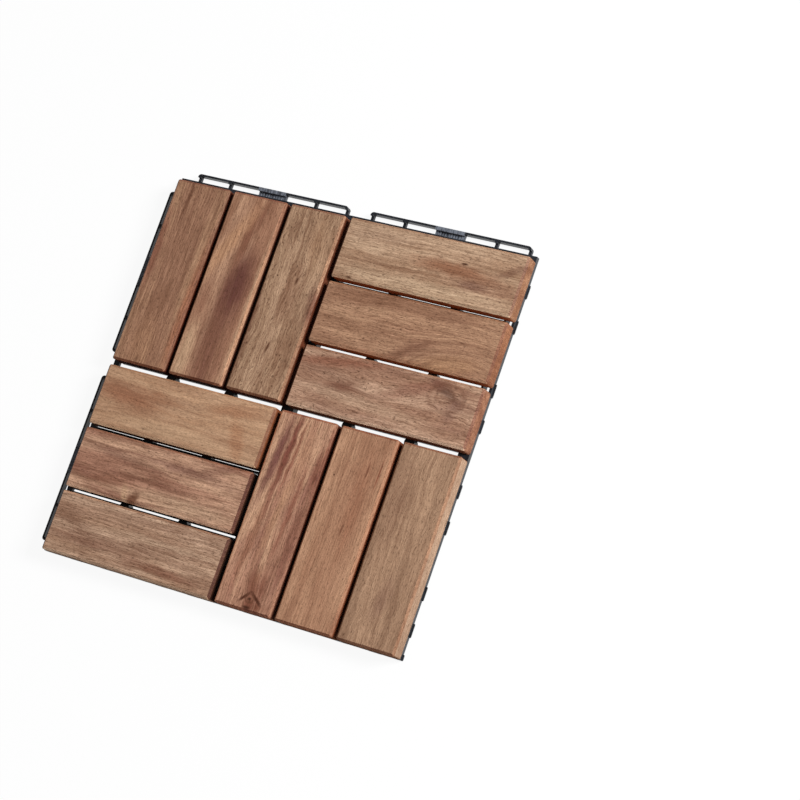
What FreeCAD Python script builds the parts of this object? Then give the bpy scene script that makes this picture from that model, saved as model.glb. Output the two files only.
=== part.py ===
# Interlocking deck tile: twelve hardwood slats in four turned squares, each slat held by two
# screws from below on one moulded base grid. The grid has loops on two sides and tabs on the
# other two, so that every tile clips to its neighbours. Millimetres, +Z up, the origin in the
# middle of the tile on the floor. The loops are on the -X and +Y sides.
import FreeCAD, Part
import math
import os

import Sketcher

doc = FreeCAD.newDocument("deck_tile")
sizes = doc.addObject("Spreadsheet::Sheet", "Sizes")

# Driving dimensions: name, value and what it sets
DIMENSIONS = [
    ("tile_pitch", 300, "from one laid tile to the next, both ways"),
    ("square_gap", 4.4, "gap between two squares of slats, also across a seam"),
    ("slat_gap", 3.5, "gap between two slats of one square"),
    ("slat_thickness", 12, "height of a slat"),
    ("slat_chamfer", 1.6, "bevel round the top face of a slat"),
    ("slat_corner", 1.6, "rounding of a slat's upright corners"),
    ("base_height", 7, "height of the base grid"),
    ("rib_thickness", 1.8, "every rib of the grid"),
    ("line_offset", 25.4, "grid line from the middle of its square"),
    ("frame_inset", 0.8, "rib under the slat ends, in from the gap"),
    ("post_radius", 4, "round post where grid lines cross"),
    ("boss_radius", 5.2, "screw boss"),
    ("boss_spread", 49.7, "screw boss from the middle of its slat"),
    ("wall_inset", 0.3, "tab wall in from the slats' ends"),
    ("wall_thickness", 2, "tab wall"),
    ("wall_foot", 2.7, "underside of the tab wall above the floor"),
    ("tab_length", 10, "clip tab along the wall"),
    ("tab_foot", 1.5, "underside of a tab above the floor"),
    ("lip_reach", 1.2, "tab lip out from the wall"),
    ("lip_height", 2.4, "tab lip"),
    ("lip_taper", 18, "lead-in taper of the lip, degrees"),
    ("corner_tab", 4.2, "short tab at the wall's end"),
    ("ledge_reach", 4.1, "ledge out from the slats' ends on the loop sides"),
    ("ledge_lap", 0.6, "ledge in under the slats' ends"),
    ("ledge_thickness", 2.8, "ledge that the lips catch under"),
    ("loop_length", 130.8, "one loop along its side"),
    ("loop_reach", 10.9, "loop out from the slats' ends"),
    ("loop_height", 5.2, "outer rail of a loop"),
    ("rail_thickness", 1.6, "outer rail of a loop"),
    ("bar_thickness", 2.3, "bars across a loop"),
    ("block_length", 23.6, "solid middle of a loop"),
    ("block_step", 1.2, "tall rim of the block inside the rail"),
    ("loop_corner", 2.4, "rounding of a loop's outer corners"),
    ("track_clearance", 0.2, "loop under the neighbour's tab wall and ties"),
    ("groove_width", 0.9, "groove across the block"),
    ("groove_depth", 0.5, "groove across the block"),
    ("groove_pitch", 2.2, "from one groove to the next"),
    ("rail_clearance", 0.6, "neighbour's rail to the grid behind the tab wall"),
    ("screw_radius", 1.75, "shank"),
    ("screw_length", 12.6, "under the head"),
    ("point_length", 2.6, "tapered point"),
    ("head_radius", 3.4, "screw head"),
    ("head_height", 2.1, "screw head"),
    ("drive_width", 1.1, "cross slot in the head"),
    ("drive_span", 4.2, "cross slot in the head"),
    ("drive_depth", 1.2, "cross slot in the head"),
    ("seat_height", 3.2, "underside of the boss plate that the head seats on"),
    ("head_clearance", 0.5, "round the head in its recess"),
    ("shank_clearance", 0.35, "round the shank through the boss"),
    ("pilot_extra", 0.6, "pilot hole beyond the screw's point"),
]
for line, (name, size, note) in enumerate(DIMENSIONS, start=1):
    sizes.set("A%d" % line, name)
    sizes.set("B%d" % line, str(size))
    sizes.set("C%d" % line, note)
    sizes.setAlias("B%d" % line, name)
doc.recompute()


def dim(text):
    """The dimension names in a formula, written as references to the sheet."""
    words = {name for name, size, note in DIMENSIONS}
    out, word = "", ""
    for letter in text + " ":
        if letter.isalnum() or letter == "_":
            word += letter
            continue
        out += "Sizes." + word if word in words else word
        out += letter
        word = ""
    return out.strip()


def value(text):
    """What a formula comes to now."""
    result = sizes.evalExpression(dim(text))
    return float(getattr(result, "Value", result))


# Lengths that follow from the driving dimensions
CENTRE = "(tile_pitch / 4)"
SLAT_LENGTH = "(tile_pitch / 2 - square_gap)"
SLAT_WIDTH = "((tile_pitch / 2 - square_gap - 2 * slat_gap) / 3)"
SLAT_STEP = "((tile_pitch / 2 - square_gap + slat_gap) / 3)"
EDGE = "(tile_pitch / 2 - square_gap / 2)"
HALF_RIB = "(rib_thickness / 2)"
FRAME_LINE = "(square_gap / 2 + frame_inset + rib_thickness / 2)"
NEAR_LINE = "(tile_pitch / 4 - line_offset)"
FAR_LINE = "(tile_pitch / 4 + line_offset)"
WALL_OUT = "(tile_pitch / 2 - square_gap / 2 - wall_inset)"
WALL_IN = "(tile_pitch / 2 - square_gap / 2 - wall_inset - wall_thickness)"
LEDGE_OUT = "(tile_pitch / 2 - square_gap / 2 + ledge_reach)"
LEDGE_IN = "(tile_pitch / 2 - square_gap / 2 - ledge_lap)"
LOOP_OUT = "(tile_pitch / 2 - square_gap / 2 + loop_reach)"
RAIL_IN = "(tile_pitch / 2 - square_gap / 2 + loop_reach - rail_thickness)"
BORDER_OUT = "(tile_pitch / 2 + square_gap / 2 - loop_reach - rail_clearance)"
BORDER_IN = "(tile_pitch / 2 + square_gap / 2 - loop_reach - rail_clearance - rib_thickness)"
LOW_BAR = "(wall_foot - track_clearance)"
TIE_FOOT = "(loop_height + track_clearance)"
WINDOW = "((loop_length - block_length - 4 * bar_thickness) / 4)"
INNER_TAB = "((block_length + (loop_length - block_length - 4 * bar_thickness) / 4) / 2)"
OUTER_TAB = ("((block_length + 3 * (loop_length - block_length - 4 * bar_thickness) / 4)"
             " / 2 + bar_thickness)")
RIB_BAR = "((block_length + bar_thickness) / 2 + (loop_length - block_length - 4 * bar_thickness) / 4)"
HEAD_TOP = "(seat_height - head_height)"


def body(name):
    """A new piece."""
    piece = doc.addObject("PartDesign::Body", name)
    piece.Label = name
    return piece


def origin(piece, role):
    """One of the piece's own planes or axes."""
    return [part for part in piece.Origin.OriginFeatures if part.Role == role][0]


def sketch(piece, name, level="0"):
    """An empty sketch of the piece, flat at a height."""
    plan = piece.newObject("Sketcher::SketchObject", name)
    plan.AttachmentSupport = (origin(piece, "XY_Plane"), [""])
    plan.MapMode = "FlatFace"
    plan.AttachmentOffset = FreeCAD.Placement(FreeCAD.Vector(0, 0, value(level)), FreeCAD.Rotation())
    if level != "0":
        plan.setExpression("AttachmentOffset.Base.z", dim(level))
    return plan


def fix(plan, kind, refs, text):
    """Bind one distance of the sketch to a formula."""
    index = plan.addConstraint(Sketcher.Constraint(kind, *refs, value(text)))
    plan.setExpression("Constraints[%d]" % index, dim(text))


def polygon(plan, corners):
    """A closed outline with square corners: each corner a pair of formulas."""
    points = [FreeCAD.Vector(value(x), value(y), 0) for x, y in corners]
    count = len(points)
    lines = [plan.addGeometry(Part.LineSegment(points[i], points[(i + 1) % count]), False)
             for i in range(count)]
    for i in range(count):
        plan.addConstraint(Sketcher.Constraint("Coincident", lines[i], 2, lines[(i + 1) % count], 1))
        level = abs(points[i].y - points[(i + 1) % count].y) < 1e-7
        plan.addConstraint(Sketcher.Constraint("Horizontal" if level else "Vertical", lines[i]))
        if level:
            fix(plan, "DistanceY", (-1, 1, lines[i], 1), corners[i][1])
        else:
            fix(plan, "DistanceX", (-1, 1, lines[i], 1), corners[i][0])


def polyline(plan, corners):
    """A closed outline of straight edges at any slope: each corner a pair of formulas."""
    points = [FreeCAD.Vector(value(x), value(y), 0) for x, y in corners]
    count = len(points)
    lines = [plan.addGeometry(Part.LineSegment(points[i], points[(i + 1) % count]), False)
             for i in range(count)]
    for i in range(count):
        plan.addConstraint(Sketcher.Constraint("Coincident", lines[i], 2, lines[(i + 1) % count], 1))
        if corners[i][0] == "0":
            plan.addConstraint(Sketcher.Constraint("PointOnObject", lines[i], 1, -2))
        else:
            fix(plan, "DistanceX", (-1, 1, lines[i], 1), corners[i][0])
        fix(plan, "DistanceY", (-1, 1, lines[i], 1), corners[i][1])


def rectangle(plan, left, right, low, high):
    """A rectangle by its four sides."""
    polygon(plan, [(left, low), (right, low), (right, high), (left, high)])


def rounded(plan, left, right, low, high, radius):
    """A rectangle with four rounded corners."""
    x0, x1, y0, y1, r = value(left), value(right), value(low), value(high), value(radius)
    ends = [((x0 + r, y0), (x1 - r, y0)), ((x1, y0 + r), (x1, y1 - r)),
            ((x1 - r, y1), (x0 + r, y1)), ((x0, y1 - r), (x0, y0 + r))]
    lines = [plan.addGeometry(Part.LineSegment(FreeCAD.Vector(*a, 0), FreeCAD.Vector(*b, 0)), False)
             for a, b in ends]
    middles = [(x1 - r, y0 + r, -90), (x1 - r, y1 - r, 0), (x0 + r, y1 - r, 90), (x0 + r, y0 + r, 180)]
    arcs = []
    for x, y, turn in middles:
        circle = Part.Circle(FreeCAD.Vector(x, y, 0), FreeCAD.Vector(0, 0, 1), r)
        start = math.radians(turn)
        arcs.append(plan.addGeometry(Part.ArcOfCircle(circle, start, start + math.pi / 2), False))
    for i in range(4):
        plan.addConstraint(Sketcher.Constraint("Tangent", lines[i], 2, arcs[i], 1))
        plan.addConstraint(Sketcher.Constraint("Tangent", arcs[i], 2, lines[(i + 1) % 4], 1))
        plan.addConstraint(Sketcher.Constraint("Vertical" if i % 2 else "Horizontal", lines[i]))
    for i in range(1, 4):
        plan.addConstraint(Sketcher.Constraint("Equal", arcs[0], arcs[i]))
    fix(plan, "Radius", (arcs[0],), radius)
    fix(plan, "DistanceY", (-1, 1, lines[0], 1), low)
    fix(plan, "DistanceX", (-1, 1, lines[1], 1), right)
    fix(plan, "DistanceY", (-1, 1, lines[2], 1), high)
    fix(plan, "DistanceX", (-1, 1, lines[3], 1), left)


def circle(plan, x, y, radius):
    """A circle about a point."""
    centre = FreeCAD.Vector(value(x), value(y), 0)
    ring = plan.addGeometry(Part.Circle(centre, FreeCAD.Vector(0, 0, 1), value(radius)), False)
    fix(plan, "Radius", (ring,), radius)
    if x == "0":
        plan.addConstraint(Sketcher.Constraint("PointOnObject", ring, 3, -2))
    else:
        fix(plan, "DistanceX", (-1, 1, ring, 3), x)
    if y == "0":
        plan.addConstraint(Sketcher.Constraint("PointOnObject", ring, 3, -1))
    else:
        fix(plan, "DistanceY", (-1, 1, ring, 3), y)


def pad(piece, plan, height, name):
    """Material up from the sketch."""
    feature = piece.newObject("PartDesign::Pad", name)
    feature.Profile = plan
    feature.Length = value(height)
    feature.setExpression("Length", dim(height))
    feature.Refine = False
    return feature


def lip(piece, plan, name):
    """A tab's lip down from the sketch, drawn in towards its foot."""
    feature = pad(piece, plan, "lip_height", name)
    feature.Reversed = True
    feature.TaperAngle = -value("lip_taper")
    feature.setExpression("TaperAngle", "-Sizes.lip_taper")
    return feature


def pocket(piece, plan, depth, name):
    """A cut up from the sketch, checked to take material away."""
    doc.recompute([piece])
    before = piece.Shape.Volume
    feature = piece.newObject("PartDesign::Pocket", name)
    feature.Profile = plan
    feature.Reversed = True
    feature.Length = value(depth)
    feature.setExpression("Length", dim(depth))
    feature.Refine = False
    doc.recompute([piece])
    if piece.Shape.Volume > before - 0.01:
        raise RuntimeError("%s cuts nothing" % name)
    return feature


def turns(piece, count, name):
    """Places a quarter turn apart round the tile's middle."""
    pattern = piece.newObject("PartDesign::PolarPattern", name)
    pattern.Axis = (origin(piece, "Z_Axis"), [""])
    pattern.Mode = "Spacing"
    pattern.Offset = 90
    pattern.Occurrences = count
    return pattern


def turned(piece, features, count, name):
    """Copies of features round the tile's middle."""
    pattern = turns(piece, count, name)
    pattern.Originals = features
    pattern.Refine = False
    piece.Tip = pattern


def mirrored(piece, features, role, name):
    """Copies of features on the other side of one of the piece's planes."""
    pattern = piece.newObject("PartDesign::Mirrored", name)
    pattern.Originals = features
    pattern.MirrorPlane = (origin(piece, role), [""])
    pattern.Refine = False
    piece.Tip = pattern


def steps(piece, role, step, count, name):
    """Places in a row along one of the piece's axes."""
    pattern = piece.newObject("PartDesign::LinearPattern", name)
    pattern.Direction = (origin(piece, role), [""])
    pattern.Mode = "Spacing"
    pattern.Offset = value(step)
    pattern.setExpression("Offset", dim(step))
    pattern.Occurrences = count
    return pattern


# The base grid, one moulding, is drawn as a loop side, a tab side, the ribs and the posts
SIDES = ("", "-")
STEPS = ("- %s" % SLAT_STEP, "", "+ %s" % SLAT_STEP)
PLACES = ("- %s" % OUTER_TAB, "- %s" % INNER_TAB, "+ %s" % INNER_TAB, "+ %s" % OUTER_TAB)

# One loop of the +Y side: a plate with a solid middle and four windows, open to the grid behind
loops = body("loop_side")
plan = sketch(loops, "loop_plan")
rounded(plan, "%s - loop_length / 2" % CENTRE, "%s + loop_length / 2" % CENTRE,
        "%s - loop_corner" % LEDGE_IN, LOOP_OUT, "loop_corner")
plate = pad(loops, plan, "loop_height", "loop")
plan = sketch(loops, "window_plan")
for place in PLACES:
    rectangle(plan, "%s %s - %s / 2" % (CENTRE, place, WINDOW), "%s %s + %s / 2" % (CENTRE, place, WINDOW),
              "%s - 2 * loop_corner" % LEDGE_IN, RAIL_IN)
windows = pocket(loops, plan, "loop_height", "windows")

# The neighbour's tab wall passes over the bars of a loop
plan = sketch(loops, "track_plan", LOW_BAR)
rectangle(plan, "%s - loop_length / 2 - loop_corner" % CENTRE,
          "%s + loop_length / 2 + loop_corner" % CENTRE, LEDGE_OUT, "%s - block_step" % RAIL_IN)
track = pocket(loops, plan, "loop_height", "track")

# Grooves across the low top of the block
plan = sketch(loops, "groove_plan", "%s - groove_depth" % LOW_BAR)
for count in range(-4, 5):
    middle = "%s + %d * groove_pitch" % (CENTRE, count)
    rectangle(plan, "%s - groove_width / 2" % middle, "%s + groove_width / 2" % middle,
              "%s + groove_width / 2" % LEDGE_OUT, "%s - block_step" % RAIL_IN)
grooves = pocket(loops, plan, "groove_depth", "grooves")
mirrored(loops, [plate, windows, track, grooves], "YZ_Plane", "second_loop")

# Ledge along the loop side, that the neighbour's lips catch under
plan = sketch(loops, "ledge_plan", "base_height - ledge_thickness")
rectangle(plan, "-%s" % LEDGE_OUT, WALL_OUT, LEDGE_IN, LEDGE_OUT)
pad(loops, plan, "ledge_thickness", "ledge")

# The +X side has a tab wall, lifted off the floor under the slats' edge. Ties join it to the border
# rib, high enough to pass over the neighbour's rails.
tabs = body("tab_side")
plan = sketch(tabs, "wall_plan", "wall_foot")
rectangle(plan, WALL_IN, WALL_OUT, "-%s" % WALL_OUT, LEDGE_OUT)
pad(tabs, plan, "base_height - wall_foot", "tab_wall")
plan = sketch(tabs, "tie_plan", TIE_FOOT)
for line in (FRAME_LINE, "(%s - %s)" % (CENTRE, RIB_BAR), "(%s + %s)" % (CENTRE, RIB_BAR),
             "(%s + loop_length / 2 + rail_clearance + %s)" % (CENTRE, HALF_RIB)):
    rectangle(plan, "%s - %s" % (BORDER_OUT, HALF_RIB), "%s + wall_thickness / 2" % WALL_IN,
              "%s - %s" % (line, HALF_RIB), "%s + %s" % (line, HALF_RIB))
ties = pad(tabs, plan, "base_height - %s" % TIE_FOOT, "ties")

# Clip tabs down from the wall, one to each of the neighbour's windows. Those of the +X side have
# tapered lips, and the other tab side, its copy across the diagonal, has them plain.
lips = body("clip_lips")
plan = sketch(tabs, "tab_plan", "tab_foot")
hooks = sketch(lips, "lip_plan", "tab_foot + lip_height")
corner = sketch(tabs, "corner_tab_plan", "tab_foot")
corner_hook = sketch(lips, "corner_lip_plan", "tab_foot + lip_height")
spans = [(plan, hooks, "%s %s - tab_length / 2" % (CENTRE, place),
          "%s %s + tab_length / 2" % (CENTRE, place)) for place in PLACES]
spans.append((corner, corner_hook, "-%s" % WALL_OUT, "-%s + corner_tab" % WALL_OUT))
for stem_plan, hook_plan, low, high in spans:
    rectangle(stem_plan, WALL_IN, WALL_OUT, low, high)
    rectangle(hook_plan, "%s - wall_thickness * 3 / 4" % WALL_OUT, "%s + lip_reach" % WALL_OUT, low, high)
stems = pad(tabs, plan, "base_height - tab_foot", "tabs")
mirrored(tabs, [ties, stems], "XZ_Plane", "second_tabs")
mirrored(lips, [lip(lips, hooks, "lips")], "XZ_Plane", "second_lips")

# A short tab at the wall's end, and a bridge where the middle gap meets the wall
pad(tabs, corner, "base_height - tab_foot", "corner_tab")
lip(lips, corner_hook, "corner_lip")
plan = sketch(tabs, "bridge_plan", "base_height - ledge_thickness")
rectangle(plan, BORDER_IN, "%s + wall_thickness / 2" % WALL_IN, "-%s" % FRAME_LINE, FRAME_LINE)
pad(tabs, plan, "ledge_thickness", "bridge")

# Border rib behind the tab wall, clear of the neighbour's rails
plan = sketch(tabs, "border_plan")
rectangle(plan, BORDER_IN, BORDER_OUT, "-%s" % BORDER_OUT, EDGE)
pad(tabs, plan, "base_height", "border_rib")

# The other loop side and tab side mirror these across the tile's diagonal
more_sides = []
for side in (loops, tabs):
    copy = doc.addObject("Part::Mirroring", "other_" + side.Name)
    copy.Source = side
    copy.Base = FreeCAD.Vector(0, 0, 0)
    copy.Normal = FreeCAD.Vector(1, 1, 0)
    more_sides.append(copy)

# Ribs from the border to the ledge. Long ones run beside the gaps between the squares and on the
# grid lines, and short ones under the middle of every slat of two squares. A quarter turn gives
# the ribs the other way, with the short ones under the slats of the other two squares.
ribs = body("ribs")
plan = sketch(ribs, "rib_plan")
for line in (FRAME_LINE, NEAR_LINE, FAR_LINE):
    for sign in SIDES:
        rectangle(plan, "%s%s - %s" % (sign, line, HALF_RIB), "%s%s + %s" % (sign, line, HALF_RIB),
                  "-%s + %s" % (BORDER_OUT, HALF_RIB), "%s + ledge_lap" % LEDGE_IN)
for step in STEPS:
    for sign, low, high in (("-", FRAME_LINE, "%s + ledge_lap" % LEDGE_IN),
                            ("", "-%s + %s" % (BORDER_OUT, HALF_RIB), "-%s" % FRAME_LINE)):
        middle = "%s(%s %s)" % (sign, CENTRE, step)
        rectangle(plan, "%s - %s" % (middle, HALF_RIB), "%s + %s" % (middle, HALF_RIB), low, high)
turned(ribs, [pad(ribs, plan, "base_height", "ribs_along")], 2, "ribs_across")

# Round posts where grid lines cross and in the gaps between squares, with the screw bosses
posts = body("posts")
holes = body("boss_holes")
plan = sketch(posts, "post_plan")
bores = sketch(holes, "screw_hole_plan")
recesses = sketch(holes, "head_recess_plan")
for x in (NEAR_LINE, FAR_LINE):
    for y in ("0", NEAR_LINE, FAR_LINE):
        circle(plan, x, y, "post_radius")
for step in STEPS:
    for along in ("- boss_spread", "+ boss_spread"):
        x, y = "-(%s %s)" % (CENTRE, step), "%s %s" % (CENTRE, along)
        circle(plan, x, y, "boss_radius")
        circle(bores, x, y, "screw_radius + shank_clearance")
        circle(recesses, x, y, "head_radius + head_clearance")
turned(posts, [pad(posts, plan, "base_height", "posts_and_bosses")], 4, "posts_round")
plan = sketch(posts, "middle_post_plan")
circle(plan, "0", "0", "post_radius")
pad(posts, plan, "base_height", "middle_post")
turned(holes, [pad(holes, bores, "base_height", "screw_holes"),
               pad(holes, recesses, "seat_height", "head_recesses")], 4, "holes_round")

# All of it joined, with the holes through the bosses
joined = doc.addObject("Part::MultiFuse", "joined_grid")
joined.Shapes = [loops, tabs, lips, ribs, posts] + more_sides
joined.Refine = False
base = doc.addObject("Part::Cut", "base_grid")
base.Base = joined
base.Tool = holes
base.Refine = True
doc.recompute()


# The slats, all alike, each with two pilot holes from below
def slat(name, x, y, across):
    """One slat, its middle at a place, along X or turned along Y."""
    piece = body(name)
    plan = sketch(piece, name + "_plan")
    rounded(plan, "-%s / 2" % SLAT_LENGTH, "%s / 2" % SLAT_LENGTH,
            "-%s / 2" % SLAT_WIDTH, "%s / 2" % SLAT_WIDTH, "slat_corner")
    board = pad(piece, plan, "slat_thickness", name + "_board")
    doc.recompute()
    top = max(range(len(board.Shape.Faces)), key=lambda i: board.Shape.Faces[i].CenterOfMass.z)
    bevel = piece.newObject("PartDesign::Chamfer", name + "_bevel")
    bevel.Base = (board, ["Face%d" % (top + 1)])
    bevel.Size = value("slat_chamfer")
    bevel.setExpression("Size", dim("slat_chamfer"))
    plan = sketch(piece, name + "_pilot_plan")
    for sign in SIDES:
        circle(plan, sign + "boss_spread", "0", "screw_radius")
    pocket(piece, plan, "screw_length + seat_height - base_height + pilot_extra", name + "_pilots")
    turn = FreeCAD.Rotation(FreeCAD.Vector(0, 0, 1), 90 if across else 0)
    piece.Placement = FreeCAD.Placement(FreeCAD.Vector(value(x), value(y), value("base_height")), turn)
    for axis, text in (("x", x), ("y", y), ("z", "base_height")):
        piece.setExpression("Placement.Base." + axis, dim(text))
    return piece


slats = []
for square_x, square_y, across in (("-", "", True), ("", "", False), ("-", "-", False), ("", "-", True)):
    for step in STEPS:
        name = "slat_%02d" % (len(slats) + 1)
        x, y = square_x + CENTRE, square_y + CENTRE
        if across:
            x = "%s %s" % (x, step)
        else:
            y = "%s - (0 %s)" % (y, step)
        slats.append(slat(name, x, y, across))

# The screws, two to a slat from below, heads in the recesses of the bosses
FIRST_X = "-(%s + %s)" % (CENTRE, SLAT_STEP)
FIRST_Y = "(%s - boss_spread)" % CENTRE
screws = body("screws")
plan = screws.newObject("Sketcher::SketchObject", "screw_profile")
plan.AttachmentSupport = (origin(screws, "XZ_Plane"), [""])
plan.MapMode = "FlatFace"
plan.AttachmentOffset = FreeCAD.Placement(FreeCAD.Vector(value(FIRST_X), 0, -value(FIRST_Y)),
                                          FreeCAD.Rotation())
plan.setExpression("AttachmentOffset.Base.x", dim(FIRST_X))
plan.setExpression("AttachmentOffset.Base.z", dim("-" + FIRST_Y))
polyline(plan, [("0", HEAD_TOP), ("head_radius", HEAD_TOP), ("head_radius", "seat_height"),
                ("screw_radius", "seat_height"),
                ("screw_radius", "seat_height + screw_length - point_length"),
                ("0", "seat_height + screw_length")])
shank = screws.newObject("PartDesign::Revolution", "screw")
shank.Profile = plan
shank.ReferenceAxis = (plan, ["V_Axis"])
shank.Angle = 360
plan = sketch(screws, "drive_plan", HEAD_TOP)
arm, half = "drive_span / 2", "drive_width / 2"
cross = [(arm, half, 1, 1), (half, half, 1, 1), (half, arm, 1, 1), (half, arm, -1, 1),
         (half, half, -1, 1), (arm, half, -1, 1), (arm, half, -1, -1), (half, half, -1, -1),
         (half, arm, -1, -1), (half, arm, 1, -1), (half, half, 1, -1), (arm, half, 1, -1)]
polygon(plan, [("%s %s %s" % (FIRST_X, "+" if right > 0 else "-", x),
                "%s %s %s" % (FIRST_Y, "+" if up > 0 else "-", y)) for x, y, right, up in cross])
slots = pocket(screws, plan, "drive_depth", "drive")
places = screws.newObject("PartDesign::MultiTransform", "screw_places")
places.Originals = [shank, slots]
places.Transformations = [steps(screws, "X_Axis", SLAT_STEP, 3, "screws_across"),
                          steps(screws, "Y_Axis", "2 * boss_spread", 2, "screws_along"),
                          turns(screws, 4, "screws_round")]
screws.Tip = places
doc.recompute()

# Every piece is checked and written
pieces = [base] + slats + [screws]
for item in doc.Objects:
    if "Invalid" in item.State or "Error" in item.State:
        raise RuntimeError("%s is not built" % item.Label)
for piece in pieces:
    if piece.Shape.isNull() or not piece.Shape.isValid():
        raise RuntimeError("%s has no valid shape" % piece.Label)
if len(base.Shape.Solids) != 1 or len(screws.Shape.Solids) != 2 * len(slats):
    raise RuntimeError("a piece has come apart")
os.makedirs("parts", exist_ok=True)
for piece in pieces:
    piece.Shape.exportStep("parts/%s.step" % piece.Label)
    print(piece.Label, len(piece.Shape.Solids), round(piece.Shape.Volume, 1))
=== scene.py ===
"""Looks of the interlocking deck tile: oiled acacia slats on a black moulded grid."""
import math

import bpy
from mathutils import Matrix

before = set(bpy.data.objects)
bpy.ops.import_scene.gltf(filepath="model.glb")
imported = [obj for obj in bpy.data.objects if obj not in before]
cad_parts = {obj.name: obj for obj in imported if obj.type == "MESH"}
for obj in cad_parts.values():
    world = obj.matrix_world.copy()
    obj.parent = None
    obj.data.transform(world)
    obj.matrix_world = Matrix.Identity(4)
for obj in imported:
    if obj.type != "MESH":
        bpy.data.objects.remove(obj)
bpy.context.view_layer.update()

# Measures in millimetres, where metres aren't named
METRE = 1000.0
TILE_PITCH = 300.0
SLAT_PITCH = 49.7           # of the three slats in a square
SQUARE = TILE_PITCH / 4     # from the tile's middle to a square's
OPEN_SIDE = TILE_PITCH / 2 - 2.8    # sides further out than this face no other slat
# Painted shade: below these heights a side in a gap takes its slat's painted gap colour
GAP_SHADE_HEIGHTS = (16.0, 18.6)     # heights between which a side in a gap darkens
BLOCK_HALF = (11.4, 12.2)   # edge of a loop's solid middle, along the loop
BLOCK_FROM = (151.4, 152.2)     # and across it
DRIFT, DRIFT_WAVE = 5.0, (9, 9, 9)  # how far the edges of a mark wander, and in what waves
THIN_MARK = 2               # marks narrower than this keep their drawn form
SOFT_EDGE = 0.0004          # metres

# Layers of noise: length and width of their waves, detail and roughness
WAVES = {
    "swirl": (70, 26, 2, 0.55),
    "curl": (13, 5, 2, 0.55),
    "broad": (150, 13, 2, 0.55),
    "bands": (80, 4.2, 3, 0.6),
    "clouds": (40, 22, 3, 0.55),
    "lines": (36, 1.25, 3, 0.7),
    "strokes": (9, 0.58, 2, 0.55),
    "pores": (3.2, 0.5, 1, 0.55),
    "specks": (1.2, 0.9, 1, 0.55),
}
# Between which two values of its layer each part of the figure fades in
LIGHT_WOOD = (0.38, 0.62)
STREAK = (0.46, 0.70)
CLOUD = (0.42, 0.72)
MARK_IN_BANDS = (0.12, 0.48)
LINE = (0.30, 0.70)
DASH = (0.54, 0.68)
FLECK = (0.28, 0.46)
PIT = (0.56, 0.70)
# painted light on the loops' solid middles fades in between these two values
PAINTED_BLOCK_STREAK = (0.38, 0.62)
GRID_CLOUD = (0.35, 0.65)
# Between which two values of a part of the normal a kind of face begins
TOP = (0.85, 0.985)
NOT_SIDE = (0.2, 0.5)
FACING = (0.35, 0.6)
FACING_AWAY = (-0.35, -0.6)

# Colours, sRGB from 0 to 255
DARK, BLACK = (104, 66, 50), (48, 28, 20)
LINE_BROWN, DASH_BROWN, PIT_BROWN = (104, 68, 48), (92, 58, 40), (70, 42, 28)
GRID_DARK, GRID_LIGHT = (25, 27, 31), (37, 40, 46)
# Painted light on the loops' solid middles, in two tones
PAINTED_BLOCK_DARK, PAINTED_BLOCK_LIGHT = (74, 78, 86), (124, 130, 141)
ZINC_DARK, ZINC_LIGHT = (150, 150, 152), (206, 205, 200)

# How much of each colour shows where its mask is full
CLOUDS_SHOW, LINES_SHOW, FLECKS_SHOW, DASHES_SHOW, PITS_SHOW = 0.4, 0.40, 0.34, 0.40, 0.50
# The gaps' painted shade and the painted light on the loops' solid middles show this much, and the
# floor's glow this much
GAP_SHADE_SHOWS, PAINTED_BLOCK_SHOWS, GLOW_SHOWS = 0.94, 0.9, 0.86

# What the wood's colour is multiplied by, in red, green and blue
FLECK_TINT = (1.55, 1.62, 1.7)
END_GRAIN_TINT = (0.65, 0.50, 0.43)
END_BEVEL_TINT = (0.75, 0.72, 0.76)
# painted light on the end bevels of upright slats, against their shading
UPRIGHT_END_BEVEL_LIGHT_TINT = (1.5, 1.5, 1.5)
LONG_BEVEL_TINT = (0.84, 0.74, 0.68)
# painted light on the low bevel, which faces away from the lamp
LOW_BEVEL_LIGHT_TINT = (2.1, 2.6, 2.9)    # of slats that lie along X
# paler bare wood and a painted sheen on the open sides
BARE_AND_SHEEN_SIDE_TINT = (1.1, 1.2, 1.28)


def linear(rgb):
    """An sRGB colour of 0 to 255 as linear values with alpha."""
    out = []
    for value in rgb:
        c = value / 255
        out.append(c / 12.92 if c <= 0.04045 else ((c + 0.055) / 1.055) ** 2.4)
    return (*out, 1.0)


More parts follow.
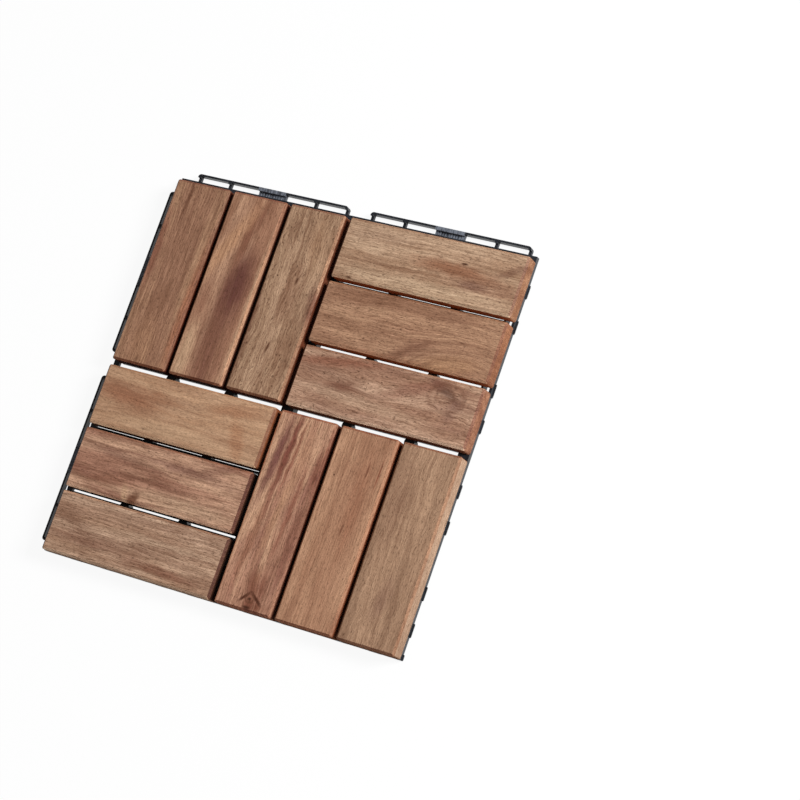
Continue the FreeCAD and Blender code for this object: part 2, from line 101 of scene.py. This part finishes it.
class Graph:
    """Short calls for building one material's nodes."""

    def __init__(self, name):
        self.material = bpy.data.materials.new(name)
        self.material.use_nodes = True
        self.tree = self.material.node_tree
        self.shader = self.tree.nodes["Principled BSDF"]

    def put(self, kind, inputs, **settings):
        node = self.tree.nodes.new(kind)
        for key, value in settings.items():
            setattr(node, key, value)
        for key, value in inputs.items():
            self.feed(node.inputs[key], value)
        return node

    def feed(self, socket, value):
        if isinstance(value, bpy.types.NodeSocket):
            self.tree.links.new(value, socket)
        else:
            socket.default_value = value

    def surface(self, **values):
        """Sets the shader's sockets; an underscore in a name stands for a space."""
        for key, value in values.items():
            self.feed(self.shader.inputs[key.replace("_", " ")], value)

    def math(self, operation, *values):
        return self.put("ShaderNodeMath", dict(enumerate(values)), operation=operation).outputs[0]

    def times(self, a, b):
        return self.math("MULTIPLY", a, b)

    def remainder(self, value):
        """What the value lacks to 1."""
        return self.math("SUBTRACT", 1.0, value)

    def rising(self, value, gain, start):
        """The start, and the value gain times over."""
        return self.math("MULTIPLY_ADD", value, gain, start)

    def unsigned(self, value):
        return self.math("ABSOLUTE", value)

    def vector(self, operation, *values):
        return self.put("ShaderNodeVectorMath", dict(enumerate(values)), operation=operation)

    def scaled(self, vector, factor):
        return self.put("ShaderNodeVectorMath", {0: vector, "Scale": factor},
                        operation="SCALE").outputs[0]

    def split(self, vector):
        return self.put("ShaderNodeSeparateXYZ", {0: vector}).outputs

    def join(self, *parts):
        return self.put("ShaderNodeCombineXYZ", dict(enumerate(parts))).outputs[0]

    def place(self, vector, location=(0, 0, 0), turn=0.0, scale=(1, 1, 1)):
        """The vector as seen from a place: moved back, turned back and divided by scale."""
        return self.put("ShaderNodeMapping", {
            "Vector": vector, "Location": location, "Rotation": (0, 0, math.radians(turn)),
            "Scale": scale}, vector_type="TEXTURE").outputs[0]

    def in_tile(self):
        """Where a point lies in the tile, in millimetres."""
        coords = self.put("ShaderNodeTexCoord", {}).outputs["Object"]
        return self.place(coords, scale=(1 / METRE, 1 / METRE, 1 / METRE))

    def noise(self, vector, detail, rough=0.55, output="Fac"):
        return self.put("ShaderNodeTexNoise", {
            "Vector": vector, "Scale": 1.0, "Detail": detail, "Roughness": rough}).outputs[output]

    def even_noise(self, vector, wave, detail):
        return self.noise(self.place(vector, scale=(wave, wave, wave)), detail)

    def ramp(self, factor, low, high):
        """0 below low, 1 above high, smooth between."""
        node = self.put("ShaderNodeMapRange", {"Value": factor, "From Min": low, "From Max": high},
                        interpolation_type="SMOOTHSTEP")
        return node.outputs[0]

    def mix(self, factor, a, b):
        """Colour a where the factor is 0, colour b where it is 1."""
        # The node's sockets for colours are 6 and 7, and 2 for the result
        return self.put("ShaderNodeMix", {0: factor, 6: a, 7: b}, data_type="RGBA").outputs[2]

    def tint(self, colour, where, factors):
        """The colour multiplied by factors where the mask is 1."""
        return self.mix(where, colour, self.vector("MULTIPLY", colour, factors).outputs[0])

    def spot(self, vector, x, y, length, width, turn=0.0, top=0.8):
        """1 in the middle of an ellipse of the tile's plane, falling to 0 at its edge."""
        through_tile = 400
        seen = self.place(vector, (x, y, 0), turn, (length, width, through_tile))
        node = self.put("ShaderNodeTexGradient", {"Vector": seen}, gradient_type="SPHERICAL")
        return self.ramp(node.outputs["Fac"], 0.0, top)

    def bump(self, height, strength, distance):
        node = self.put("ShaderNodeBump", {
            "Height": height, "Strength": strength, "Distance": distance})
        self.surface(Normal=node.outputs[0])


# What each slat shows. Places are the tile's, in millimetres, and turns are in degrees.
#   tones    three colours from dark to light
#   fine     how strong its fine grain is
#   streaks  how strong its dark streaks are
#   swirl    how far the lines of its grain wander in long waves
#   curl     how far they wander in short ones
#   marks    (x, y, half length, half width, turn, colour, strength)
#   bulges   of the grain's lines: (x, y, half length, half width, turn, height)
#   rings    dark ones: (x, y, radius, stretch along X, width, strength)
#   bevel    how light its long bevels are
#   left     how light the left bevel of an upright slat is, with painted light against its shading
#   ends     how light its end bevels are, in red, green and blue
#   gap      colour of its sides inside the gaps, painted for their light and shade
PLAIN = dict(fine=1.0, swirl=2.5, curl=0.6, bulges=[], rings=[], bevel=1.0, left=1.0,
             ends=(1.0, 1.0, 1.0), gap=(100, 48, 24))
SLATS = {
    "slat_01": dict(
        tones=((139, 100, 79), (170, 127, 102), (186, 144, 114)),
        fine=1.25, streaks=0.6, bevel=0.66, gap=(66, 17, 4),
        marks=[
            (-145, 90, 50, 6, 90, (146, 92, 76), 0.7),
            (-103, 50, 80, 6, 90, (176, 112, 84), 0.7),
            (-133, 132, 30, 2.4, 88, DARK, 0.7),
            (-126, 124, 34, 2.4, 90, DARK, 0.55),
            (-114, 100, 60, 4, 91, DARK, 0.3),
            (-128, 52, 24, 12, 70, (118, 80, 60), 0.4),
            (-128, 18, 34, 16, 90, (180, 136, 104), 0.45)]),
    "slat_02": dict(
        tones=((147, 102, 82), (174, 129, 103), (196, 153, 124)),
        fine=1.08, streaks=0.5, bevel=0.95, gap=(66, 20, 6),
        marks=[
            (-69, 74, 50, 17, 86, (112, 70, 62), 1.0),
            (-72, 24, 58, 17, 93, (128, 86, 70), 0.9),
            (-71, 122, 50, 7, 76, (128, 82, 64), 0.8),
            (-86, 108, 56, 9, 66, (204, 154, 116), 0.55),
            (-91, 18, 40, 9, 88, (212, 174, 140), 0.85),
            (-53, 60, 90, 4.6, 90, (208, 168, 136), 0.75),
            (-94, 128, 40, 5, 84, (130, 88, 66), 0.6),
            (-69, 78, 26, 9, 84, (98, 60, 54), 0.6)]),
    "slat_03": dict(
        tones=((140, 104, 81), (179, 145, 117), (208, 172, 141)),
        fine=1.45, streaks=0.5, swirl=7, curl=2.6, bevel=1.05, gap=(92, 42, 22),
        marks=[
            (-21.8, 91.8, 4.6, 1.7, 84, BLACK, 1.0),
            (-38.5, 92.6, 1.0, 1.0, 0, BLACK, 1.0),
            (-26.3, 39, 8, 1.6, 80, (88, 54, 38), 0.9),
            (-4, 76, 26, 6, 96, (110, 70, 60), 0.8),
            (-47, 46, 60, 5, 90, (116, 80, 64), 0.8),
            (-24, 78, 36, 11, 85, (138, 98, 76), 0.5),
            (-14, 120, 34, 12, 100, (184, 144, 112), 0.45),
            (-34, 130, 22, 10, 60, (120, 86, 66), 0.35),
            (-15, 30, 40, 8, 95, (178, 140, 112), 0.4)]),
    "slat_04": dict(
        tones=((149, 112, 86), (185, 150, 122), (208, 175, 145)),
        fine=1.25, streaks=0.52, ends=(1.12, 1.22, 1.32), gap=(190, 124, 84),
        marks=[
            (101.5, 131.7, 4.4, 1.3, 0, BLACK, 1.0),
            (96, 126, 56, 8, -3, (150, 100, 74), 0.85),
            (124, 118, 50, 9, 0, (148, 104, 82), 0.65),
            (112, 117, 18, 5, 0, (116, 82, 72), 0.6),
            (17, 103.4, 4, 1.3, 0, (80, 46, 28), 1.0),
            (64, 108, 90, 8, 0, (214, 184, 152), 0.6),
            (30, 138, 44, 8, 4, (196, 164, 138), 0.5),
            (140, 134, 24, 4, 30, (112, 76, 64), 0.5),
            (60, 118, 60, 2.2, 0, (140, 102, 78), 0.6)]),
    "slat_05": dict(
        tones=((138, 100, 79), (176, 134, 107), (198, 156, 125)),
        fine=1.36, streaks=0.42, swirl=4, curl=1.2, gap=(176, 112, 74),
        marks=[
            (40, 92, 60, 8, 4, (134, 94, 72), 0.6),
            (75, 52.5, 100, 3.2, 0, (156, 104, 78), 0.6),
            (82, 62, 30, 8, 30, (130, 90, 72), 0.65),
            (114, 58, 36, 9, 10, (188, 144, 108), 0.6),
            (20, 70, 40, 8, -4, (142, 104, 80), 0.4)],
        bulges=[(124, 44, 70, 44, 0, -26)],
        rings=[
            (126, 45, 18, 1.9, 2.2, 0.3),
            (126, 46, 23, 1.9, 1.8, 0.32),
            (125, 47, 27.5, 1.9, 2.2, 0.3)]),
    "slat_06": dict(
        tones=((131, 92, 77), (175, 135, 111), (210, 172, 145)),
        fine=1.27, streaks=0.52, swirl=8, curl=2.2, gap=(180, 124, 92),
        marks=[
            (30, 41, 60, 6, 8, (146, 92, 72), 0.75),
            (118, 40, 20, 6, -24, (90, 66, 60), 0.8),
            (98, 36, 44, 8, 24, (138, 90, 74), 0.65),
            (40, 24, 22, 8, 24, (120, 80, 64), 0.7),
            (60, 16, 80, 7, -4, (208, 174, 146), 0.6),
            (130, 28, 20, 8, 70, (114, 80, 74), 0.45)],
        rings=[
            (121, 36, 5, 1.4, 2.0, 0.36),
            (122, 35, 10, 1.4, 2.4, 0.34)]),
    "slat_07": dict(
        tones=((162, 117, 87), (189, 150, 120), (210, 170, 136)),
        fine=0.74, streaks=0.4, swirl=5, curl=1.8, ends=(0.78, 0.76, 0.74), gap=(120, 66, 40),
        marks=[
            (-124, -22, 46, 13, -6, (152, 100, 74), 0.75),
            (-24, -34, 26, 9, 112, (172, 118, 86), 0.5),
            (-30, -12, 38, 8, 12, (172, 120, 88), 0.5),
            (-86, -40, 70, 8, 0, (208, 172, 138), 0.5),
            (-96, -18, 30, 6, -4, (154, 104, 76), 0.55)]),
    "slat_08": dict(
        tones=((129, 84, 69), (183, 135, 112), (218, 174, 144)),
        fine=1.26, streaks=0.62, ends=(0.45, 0.36, 0.35), gap=(34, 9, 2),
        marks=[
            (-112, -66, 50, 5, -4, (118, 76, 66), 0.6),
            (-50, -65, 60, 5, -3, (126, 86, 78), 0.6),
            (-44, -90, 80, 8, 0, (208, 172, 142), 0.7),
            (-89, -94.5, 11, 6.5, 62, (108, 68, 50), 0.9),
            (-96.5, -92.5, 11, 4, 112, (210, 170, 136), 0.8),
            (-34, -60, 32, 5, 20, (130, 88, 76), 0.45),
            (-116, -86, 36, 6, 10, (140, 94, 74), 0.45),
            (-80, -80, 60, 3, -2, (134, 90, 74), 0.6)]),
    "slat_09": dict(
        tones=((139, 102, 83), (180, 142, 116), (214, 178, 150)),
        fine=1.36, streaks=0.55, ends=(0.45, 0.36, 0.35), gap=(34, 9, 2),
        marks=[
            (-90, -112, 80, 8, 0, (184, 148, 124), 0.4),
            (-50, -139, 44, 5, -4, (140, 90, 72), 0.7),
            (-110, -132, 60, 6, 0, (142, 100, 82), 0.55),
            (-60, -120, 70, 4, 0, (206, 174, 146), 0.6)]),
    "slat_10": dict(
        tones=((148, 97, 85), (190, 142, 117), (226, 180, 146)),
        fine=1.26, streaks=0.55, bevel=0.75, left=5.2, gap=(68, 24, 9),
        marks=[
            (11, -38, 50, 5.5, 84, (120, 74, 70), 0.9),
            (19, -30, 56, 4.5, 86, (132, 78, 66), 1.0),
            (24.5, -30, 50, 2.4, 86, (150, 92, 74), 0.8),
            (31, -34, 50, 8, 88, (192, 144, 114), 0.6),
            (49, -30, 46, 4, 90, (144, 84, 66), 0.8),
            (44, -92, 60, 8, 83, (132, 84, 70), 0.75),
            (14, -96, 56, 5, 86, (150, 96, 76), 0.7),
            (46.2, -44, 4.4, 1.95, 84, (50, 30, 30), 1.0),
            (45, -40, 24, 5, 92, (130, 78, 64), 0.8),
            (30, -128, 20, 12, 95, (132, 80, 62), 0.8),
            (33, -143, 14, 7, 0, (118, 64, 48), 0.8),
            (24.6, -138, 9, 1.9, 48, (70, 34, 24), 1.0),
            (34.2, -138, 10, 1.9, -40, (70, 34, 24), 1.0),
            (28.8, -138.8, 2.0, 1.6, 0, BLACK, 1.0),
            (28.4, -145.2, 5, 1.9, 0, (60, 32, 24), 1.0),
            (26, -80, 50, 5, 84, (196, 148, 116), 0.6),
            (36, -70, 60, 3, 86, (140, 80, 64), 0.6)],
        rings=[(28.8, -138.8, 3.2, 1.15, 1.0, 0.75)],
        bulges=[(29, -146, 26, 12, 90, 4)]),
    "slat_11": dict(
        tones=((145, 100, 77), (180, 135, 107), (197, 152, 121)),
        fine=0.96, streaks=0.45, bevel=0.85, left=2.0, gap=(116, 60, 36),
        marks=[
            (83, -29, 8, 1.1, 88, DARK, 1.0),
            (92.3, -30, 16, 1.0, 88, (130, 78, 58), 0.9),
            (78.6, -74, 7, 1.0, 88, DARK, 0.9),
            (59.2, -38, 1.1, 1.1, 0, BLACK, 0.9),
            (82, -56, 56, 9, 90, (152, 102, 78), 0.6),
            (90, -120, 44, 9, 90, (192, 148, 118), 0.5),
            (62, -100, 50, 4, 90, (148, 100, 76), 0.4)]),
    "slat_12": dict(
        tones=((129, 97, 76), (162, 129, 104), (184, 148, 120)),
        fine=1, streaks=0.45, curl=2.4, left=1.6,
        marks=[
            (112, -40, 70, 11, 90, (150, 114, 92), 0.4),
            (126, -112, 26, 8, 80, (136, 102, 86), 0.5)]),
}


def centre_of(index):
    """Middle of a slat in millimetres and whether it lies along Y."""
    square, place = divmod(index, 3)
    shift = (place - 1) * SLAT_PITCH
    return [(-SQUARE + shift, SQUARE, True), (SQUARE, SQUARE - shift, False),
            (-SQUARE, -SQUARE - shift, False), (SQUARE + shift, -SQUARE, True)][square]


class Board(Graph):
    """Oiled acacia for one slat, its grain along the slat."""

    def __init__(self, name, index, look):
        super().__init__(name + "_acacia")
        self.look = {**PLAIN, **look}
        x, y, self.upright = centre_of(index)
        self.seed = (index * 37.0, index * 211.0, index * 91.0)
        self.tile = self.in_tile()
        self.grain = self.place(self.tile, (x, y, 0), 90 if self.upright else 0)
        self.flow = self.bent_grain()
        self.bands = self.layer(self.flow, "bands")
        self.fine = self.ramp(self.layer(self.flow, "lines"), *LINE)
        self.pits = self.ramp(self.layer(self.flow, "pores"), *PIT)
        self.faces = self.split(self.put("ShaderNodeTexCoord", {}).outputs["Normal"])
        self.lean = self.unsigned(self.faces[2])
        self.side = self.remainder(self.ramp(self.lean, *NOT_SIDE))
        self.ends = self.ramp(self.unsigned(self.faces[1 if self.upright else 0]), *FACING)
        self.loose = self.drifting()

        colour = self.figured()
        for step in (self.marked, self.ringed, self.textured, self.oil_and_painted_light, self.sided):
            colour = step(colour)
        rough = self.math("ADD", self.rising(self.fine, gain=0.12, start=0.50),
                          self.times(self.side, 0.35))
        self.surface(Base_Color=colour, Roughness=rough, Specular_IOR_Level=0.10)
        hollows = self.math("ADD", self.times(self.fine, 0.4), self.pits)
        height = self.math("SUBTRACT", self.times(self.bands, 0.5), hollows)
        self.bump(height, strength=0.35, distance=0.00025)

    def layer(self, vector, kind):
        length, width, detail, rough = WAVES[kind]
        return self.noise(self.place(vector, self.seed, 0, (length, width, width)), detail, rough)

    def bent_grain(self):
        """The grain's lines wander, curl, and bulge round what the tree grew round."""
        along, across, up = self.split(self.grain)
        for kind in ("swirl", "curl"):
            wave = self.math("SUBTRACT", self.layer(self.grain, kind), 0.5)
            across = self.math("ADD", across, self.times(wave, self.look[kind] * 2))
        for x, y, length, width, turn, height in self.look["bulges"]:
            bulge = self.spot(self.tile, x, y, length, width, turn, 1.0)
            across = self.math("ADD", across, self.times(bulge, height))
        return self.join(along, across, up)

    def figured(self):
        """Light and mid tones in broad stripes, with dark streaks and clouds."""
        dark, mid, light = (linear(tone) for tone in self.look["tones"])
        broad = self.ramp(self.layer(self.flow, "broad"), *LIGHT_WOOD)
        streaks = self.times(self.ramp(self.bands, *STREAK), self.look["streaks"])
        clouds = self.ramp(self.layer(self.grain, "clouds"), *CLOUD)
        colour = self.mix(streaks, self.mix(broad, mid, light), dark)
        return self.mix(self.times(clouds, CLOUDS_SHOW * self.look["fine"]), colour, dark)

    def drifting(self):
        """The tile's places, moved about a little, so that a mark's edges wander."""
        drift = self.place(self.tile, self.seed, 0, DRIFT_WAVE)
        drift = self.noise(drift, detail=3, output="Color")
        drift = self.vector("SUBTRACT", drift, (0.5, 0.5, 0.5)).outputs[0]
        return self.vector("ADD", self.tile, self.scaled(drift, DRIFT)).outputs[0]

    def marked(self, colour):
        for x, y, length, width, turn, tone, strength in self.look["marks"]:
            if width < THIN_MARK:
                spot = self.spot(self.tile, x, y, length, width, turn)
            else:
                spot = self.times(self.spot(self.loose, x, y, length, width, turn),
                                  self.ramp(self.bands, *MARK_IN_BANDS))
            colour = self.mix(self.times(spot, strength), colour, linear(tone))
        return colour

    def ringed(self, colour):
        for x, y, radius, stretch, width, strength in self.look["rings"]:
            off = self.split(self.place(self.loose, (x, y, 0), 0, (stretch, 1, 1)))
            away = self.vector("LENGTH", self.join(off[0], off[1])).outputs["Value"]
            from_line = self.unsigned(self.math("SUBTRACT", away, radius))
            ring = self.remainder(self.ramp(from_line, 0.0, width))
            colour = self.mix(self.times(ring, strength), colour, linear(DARK))
        return colour

    def textured(self, colour):
        """Lines, pale flecks, dark dashes, pores and grit."""
        fine = self.look["fine"]
        strokes = self.layer(self.flow, "strokes")
        flecks = self.remainder(self.ramp(strokes, *FLECK))
        dashes = self.ramp(strokes, *DASH)
        colour = self.mix(self.times(self.fine, LINES_SHOW * fine), colour, linear(LINE_BROWN))
        colour = self.tint(colour, self.times(flecks, FLECKS_SHOW * fine), FLECK_TINT)
        colour = self.mix(self.times(dashes, DASHES_SHOW * fine), colour, linear(DASH_BROWN))
        colour = self.mix(self.times(self.pits, PITS_SHOW * fine), colour, linear(PIT_BROWN))
        specks = self.layer(self.grain, "specks")
        return self.scaled(colour, self.rising(specks, gain=0.60, start=0.70))

    def oil_and_painted_light(self, colour):
        """Bevels and end grain drink more oil, and some bevels get painted light against their
        shading.
        """
        steep = self.remainder(self.ramp(self.lean, *TOP))
        bevel = self.times(self.ramp(self.lean, *FACING), steep)
        end_bevel = self.times(bevel, self.ends)
        light = self.look["bevel"]
        colour = self.tint(colour, self.ends, END_GRAIN_TINT)
        colour = self.tint(colour, end_bevel,
                           [own * tint for own, tint in zip(self.look["ends"], END_BEVEL_TINT)])
        colour = self.tint(colour, self.times(bevel, self.remainder(self.ends)),
                           [light * tint for tint in LONG_BEVEL_TINT])
        # One long bevel gets painted light, as it faces away from the lamp: the left one of an
        # upright slat, the low one of the others
        painted_light_bevel = self.times(bevel, self.ramp(self.faces[0 if self.upright else 1], *FACING_AWAY))
        if not self.upright:
            return self.tint(colour, painted_light_bevel, LOW_BEVEL_LIGHT_TINT)
        # Painted light on the end bevels of an upright slat
        colour = self.tint(colour, end_bevel, UPRIGHT_END_BEVEL_LIGHT_TINT)
        return self.tint(colour, painted_light_bevel, [self.look["left"] / light] * 3)

    def sided(self, colour):
        """Open sides are paler bare wood with a painted sheen; sides in the gaps take a painted
        colour for their light and shade towards the foot.
        """
        x, y, up = self.split(self.tile)
        furthest = self.math("MAXIMUM", self.unsigned(x), self.unsigned(y))
        outside = self.math("GREATER_THAN", furthest, OPEN_SIDE)
        # Paler bare wood with a painted sheen on the open sides
        bare_and_sheen = self.times(self.times(self.side, outside), self.remainder(self.ends))
        colour = self.tint(colour, bare_and_sheen, BARE_AND_SHEEN_SIDE_TINT)
        foot = self.remainder(self.ramp(up, *GAP_SHADE_HEIGHTS))
        # Painted shade, lighter on some slats: the sides inside the gaps take the slat's gap
        # colour below their top
        gap_shade = self.times(self.times(self.side, foot), self.remainder(outside))
        return self.mix(self.times(gap_shade, GAP_SHADE_SHOWS), colour, linear(self.look["gap"]))


def plastic():
    """Black moulded polypropylene with a fine grain."""
    g = Graph("grid_plastic")
    tile = g.in_tile()
    cloud = g.even_noise(tile, 14, detail=3)
    colour = g.mix(g.ramp(cloud, *GRID_CLOUD), linear(GRID_DARK), linear(GRID_LIGHT))
    # The solid middles of the loops get painted light, in streaks along their grooves, lifting the
    # shade their rims cast
    places = g.split(tile)
    for along, out, streak in ((0, 1, (1.3, 9, 9)), (1, 0, (9, 1.3, 9))):
        beside = g.unsigned(g.math("SUBTRACT", g.unsigned(places[along]), SQUARE))
        block = g.times(g.remainder(g.ramp(beside, *BLOCK_HALF)),
                        g.ramp(g.unsigned(places[out]), *BLOCK_FROM))
        painted_block_light = g.ramp(g.noise(g.place(tile, scale=streak), detail=2), *PAINTED_BLOCK_STREAK)
        painted_block_light = g.mix(painted_block_light, linear(PAINTED_BLOCK_DARK), linear(PAINTED_BLOCK_LIGHT))
        colour = g.mix(g.times(block, PAINTED_BLOCK_SHOWS), colour, painted_block_light)
    g.surface(Base_Color=colour, Roughness=g.rising(cloud, gain=0.20, start=0.30),
              Specular_IOR_Level=0.45)
    g.bump(g.even_noise(tile, 0.5, detail=2), strength=0.20, distance=0.0001)
    return g.material


def steel():
    """Zinc plated screws."""
    g = Graph("screw_steel")
    cloud = g.even_noise(g.in_tile(), 1.5, detail=3)
    g.surface(Base_Color=g.mix(cloud, linear(ZINC_DARK), linear(ZINC_LIGHT)), Metallic=1.0,
              Roughness=g.rising(cloud, gain=0.25, start=0.22))
    g.bump(cloud, strength=0.1, distance=0.0001)
    return g.material


def soften(obj):
    """Lightly rounded edges, as tools and moulds leave them."""
    bevel = obj.modifiers.new("soft_edges", "BEVEL")
    bevel.width = SOFT_EDGE
    bevel.segments = 2
    bevel.limit_method = "ANGLE"
    bevel.angle_limit = math.radians(30)
    bevel.harden_normals = True


def dress(obj, material):
    obj.data.materials.clear()
    obj.data.materials.append(material)


for index, (name, look) in enumerate(SLATS.items()):
    dress(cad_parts[name], Board(name, index, look).material)
    soften(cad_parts[name])
dress(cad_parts["base_grid"], plastic())
dress(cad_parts["screws"], steel())

# The floor, near white for the camera and still shaded by the tile
FLOOR_REACH = 6.0   # metres
floor_mesh = bpy.data.meshes.new("floor")
floor_mesh.from_pydata([(x * FLOOR_REACH, y * FLOOR_REACH, 0)
                        for x, y in ((-1, -1), (1, -1), (1, 1), (-1, 1))], [], [(0, 1, 2, 3)])
floor = bpy.data.objects.new("floor", floor_mesh)
bpy.context.collection.objects.link(floor)
g = Graph("floor")
g.surface(Base_Color=(0.5, 0.5, 0.5, 1), Roughness=0.9, Specular_IOR_Level=0.0)
rays = g.put("ShaderNodeLightPath", {})
seen = g.math("MAXIMUM", rays.outputs["Is Camera Ray"], rays.outputs["Is Glossy Ray"])
seen = g.math("MAXIMUM", seen, rays.outputs["Is Transmission Ray"])
glow = g.put("ShaderNodeEmission", {"Color": (1, 1, 1, 1), "Strength": 1.08})
blend = g.put("ShaderNodeMixShader", {0: g.times(seen, GLOW_SHOWS), 1: g.shader.outputs[0],
                                      2: glow.outputs[0]})
g.feed(g.tree.nodes["Material Output"].inputs[0], blend.outputs[0])
dress(floor, g.material)

# An even surround, white where it is seen
world = bpy.data.worlds.new("surround")
bpy.context.scene.world = world
world.use_nodes = True
tree = world.node_tree
background = tree.nodes["Background"]
background.inputs["Color"].default_value = (1, 1, 1, 1)
rays = tree.nodes.new("ShaderNodeLightPath")
either = tree.nodes.new("ShaderNodeMath")
either.operation = "MAXIMUM"
tree.links.new(rays.outputs["Is Camera Ray"], either.inputs[0])
tree.links.new(rays.outputs["Is Transmission Ray"], either.inputs[1])
level = tree.nodes.new("ShaderNodeMapRange")
level.inputs["To Min"].default_value = 0.16     # as a light
level.inputs["To Max"].default_value = 1.0      # as seen
tree.links.new(either.outputs[0], level.inputs["Value"])
tree.links.new(level.outputs[0], background.inputs["Strength"])

# One soft light low from the right
light = bpy.data.lights.new("key", "AREA")
light.shape = "SQUARE"
light.size = 0.9
light.energy = 138.0
key = bpy.data.objects.new("key", light)
key.location = (2.393, 0.778, 1.634)
key.rotation_euler = (-key.location).to_track_quat("-Z", "Y").to_euler()
bpy.context.collection.objects.link(key)

# The camera at the photograph's place, solved from the slat field's lines
SENSOR = 36.0       # millimetres
FOCAL_LENGTH = 2461.29      # pixels of the photograph
PHOTO_WIDTH = 800   # pixels
camera = bpy.data.cameras.new("camera")
camera.sensor_width = SENSOR
camera.lens = SENSOR * FOCAL_LENGTH / PHOTO_WIDTH
camera.clip_end = 50
view = bpy.data.objects.new("camera", camera)
right = (0.873351, 0.324533, -0.363230)
up = (-0.224221, 0.929864, 0.291681)
back = (0.432415, -0.173296, 0.884865)
view.matrix_world = (Matrix.Translation((0.835341, -0.273826, 1.547067))
                     @ Matrix((right, up, back)).transposed().to_4x4())
bpy.context.collection.objects.link(view)
bpy.context.scene.camera = view
bpy.context.scene.view_settings.view_transform = "Standard"
